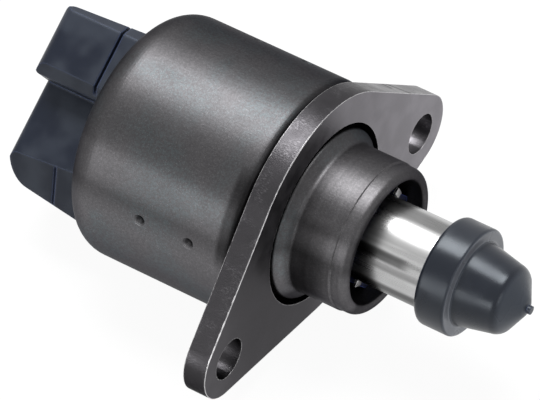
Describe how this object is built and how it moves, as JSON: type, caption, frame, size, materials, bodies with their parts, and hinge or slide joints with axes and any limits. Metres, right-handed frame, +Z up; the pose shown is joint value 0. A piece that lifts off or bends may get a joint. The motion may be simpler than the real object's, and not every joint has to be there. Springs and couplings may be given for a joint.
{
  "type": "idle air control valve",
  "caption": "Stepper motor valve in a rolled can with a two-ear mounting flange, nose collar, sprung sliding plunger with a tapered pintle tip, and a rear plug connector.",
  "frame": {"origin": "on the valve's axis, in the plane of the mounting flange's front face", "axes": "+X along the valve's axis towards the pintle tip, +Y along the line of the two bolt holes, +Z up, with the flange's ears drooping towards -Z"},
  "size_m": [0.0689, 0.0526, 0.0318],
  "materials": {
    "can_steel": "satin",
    "flange_steel": "satin",
    "cap_plastic": "matt",
    "tip_plastic": "satin",
    "pin_brass": "bright",
    "seal_rubber": "matt",
    "bush_bronze": "satin",
    "spring_steel": "bright",
    "stator_steel": "satin",
    "bobbin_plastic": "matt",
    "winding_copper": "gloss",
    "magnet_ferrite": "matt",
    "hub_plastic": "matt",
    "bearing_steel": "bright",
    "cage_brass": "satin",
    "guide_plastic": "matt",
    "screw_steel": "bright",
    "sleeve_steel": "bright"
  },
  "bodies": {
    "housing": {"motor_can": "can_steel", "mounting_flange": "flange_steel", "end_cap": "cap_plastic", "terminal_pin_1": "pin_brass", "terminal_pin_2": "pin_brass", "terminal_pin_3": "pin_brass", "terminal_pin_4": "pin_brass", "end_cap_seal": "seal_rubber", "rear_bush": "bush_bronze", "wave_washer": "spring_steel", "stator_cup_rear": "stator_steel", "pole_ring_rear": "stator_steel", "coil_bobbin_rear": "bobbin_plastic", "coil_winding_rear": "winding_copper", "stator_cup_front": "stator_steel", "pole_ring_front": "stator_steel", "coil_bobbin_front": "bobbin_plastic", "coil_winding_front": "winding_copper", "bearing_outer_race": "bearing_steel", "spring_seat": "bearing_steel", "guide_bush": "guide_plastic"},
    "rotor": {"rotor_magnet": "magnet_ferrite", "rotor_hub": "hub_plastic", "bearing_inner_race": "bearing_steel"},
    "ball_set": {"bearing_balls": "bearing_steel", "ball_cage": "cage_brass"},
    "plunger": {"lead_screw": "screw_steel", "plunger_sleeve": "sleeve_steel", "plunger_spring": "spring_steel", "pintle_tip": "tip_plastic"}
  },
  "joints": [
    {"name": "rotor_spin", "type": "hinge", "parent": "housing", "child": "rotor", "pos_m": [0, 0, 0], "axis": [1, 0, 0], "range_deg": [-360, 2340]},
    {"name": "ball_orbit", "type": "hinge", "parent": "housing", "child": "ball_set", "pos_m": [-0.0065, 0, 0], "axis": [1, 0, 0], "range_deg": [-160, 1000]},
    {"name": "plunger_slide", "type": "slide", "parent": "housing", "child": "plunger", "axis": [1, 0, 0], "range_m": [-0.0065, 0.001], "deforming": ["plunger_spring"]}
  ],
  "couplings": [
    {"joint": "plunger_slide", "follows": "rotor_spin", "m_per_rad": -0.00015915},
    {"joint": "ball_orbit", "follows": "rotor_spin", "ratio": 0.4235}
  ]
}
